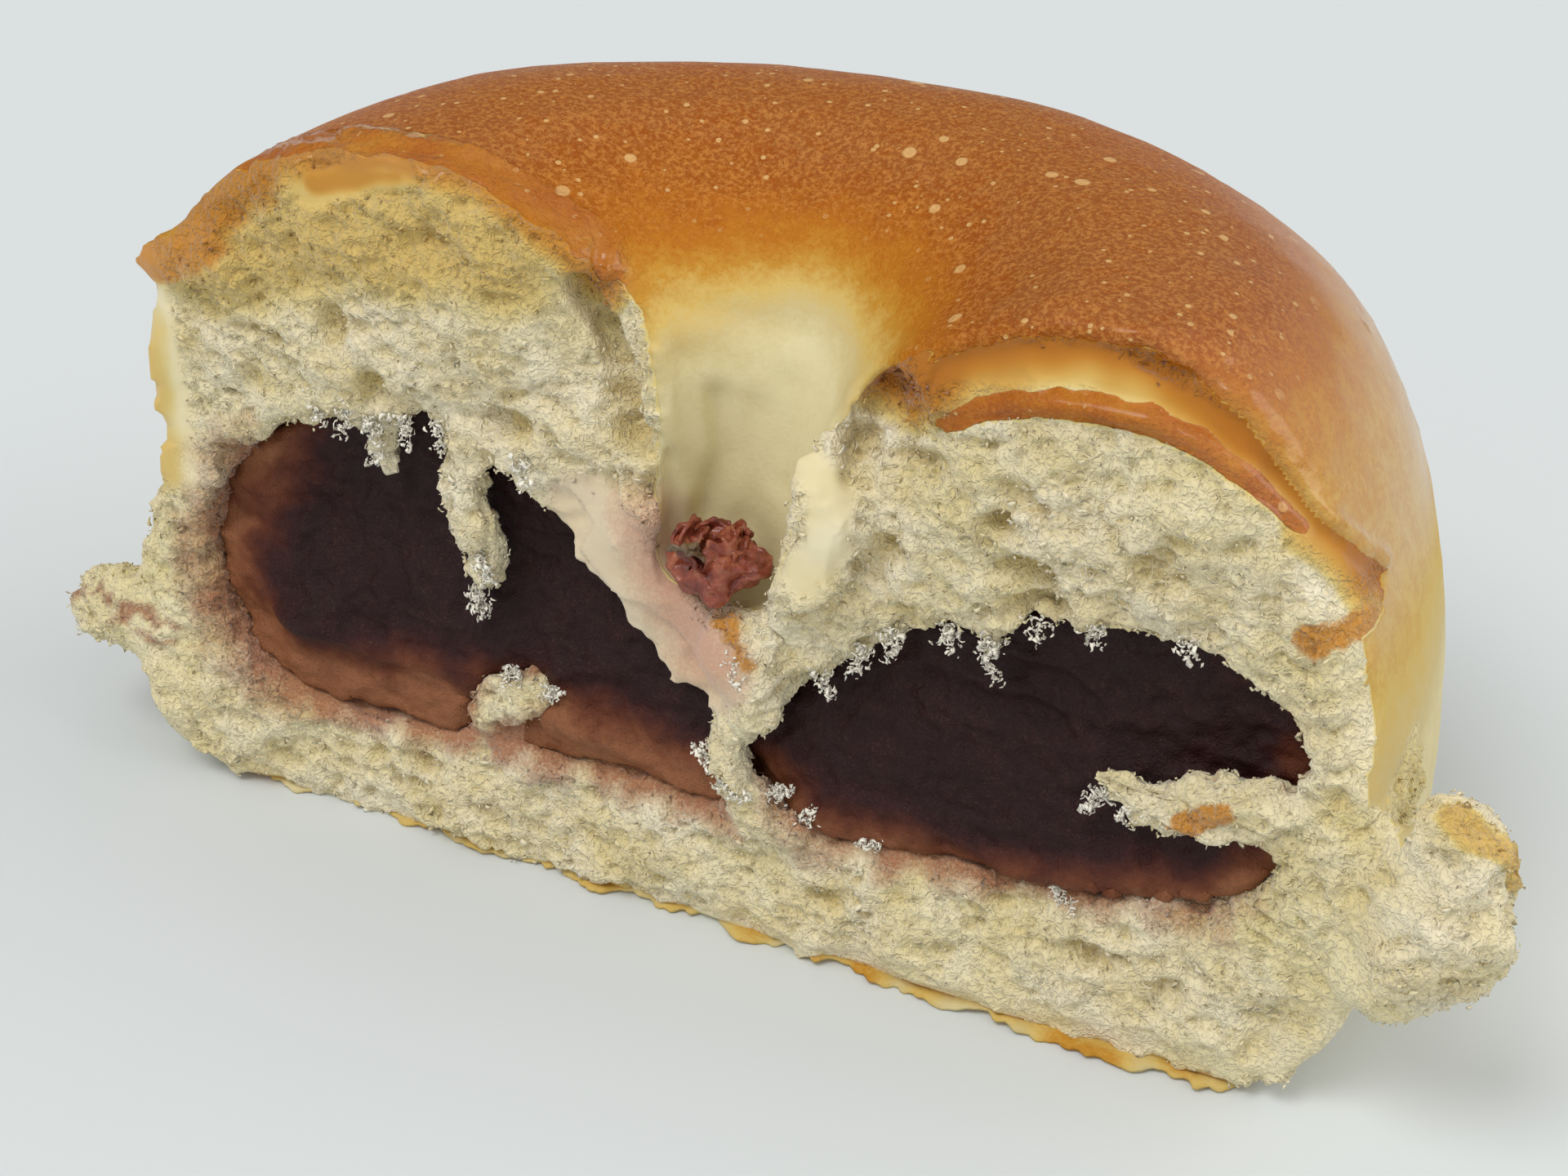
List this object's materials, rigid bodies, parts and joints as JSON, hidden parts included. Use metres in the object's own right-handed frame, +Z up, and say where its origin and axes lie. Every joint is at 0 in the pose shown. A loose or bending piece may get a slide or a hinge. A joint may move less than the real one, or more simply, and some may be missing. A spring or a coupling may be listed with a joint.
{
  "type": "red bean bun half",
  "caption": "Half of a round sweet bun torn by hand through its navel, showing cream crumb, dark bean paste and a pickled blossom under a browned crust.",
  "frame": {"origin": "on the flat base, under the middle of the half bun, on its plane of left and right", "axes": "+X to the right along the torn face, which looks towards -Y; +Z up from the base"},
  "size_m": [0.0917, 0.0403, 0.0446],
  "materials": {
    "bread": "baked crust, satin brown on top and pale gold at the side, over an open cream crumb",
    "bean_paste": "smooth dark red bean paste with a satin, faintly sparkling torn face",
    "blossom": "moist, crumpled pink-red salted blossom"
  },
  "bodies": {
    "root": {"bread": "bread", "bean_paste": "bean_paste", "pickled_blossom": "blossom"}
  },
  "joints": []
}
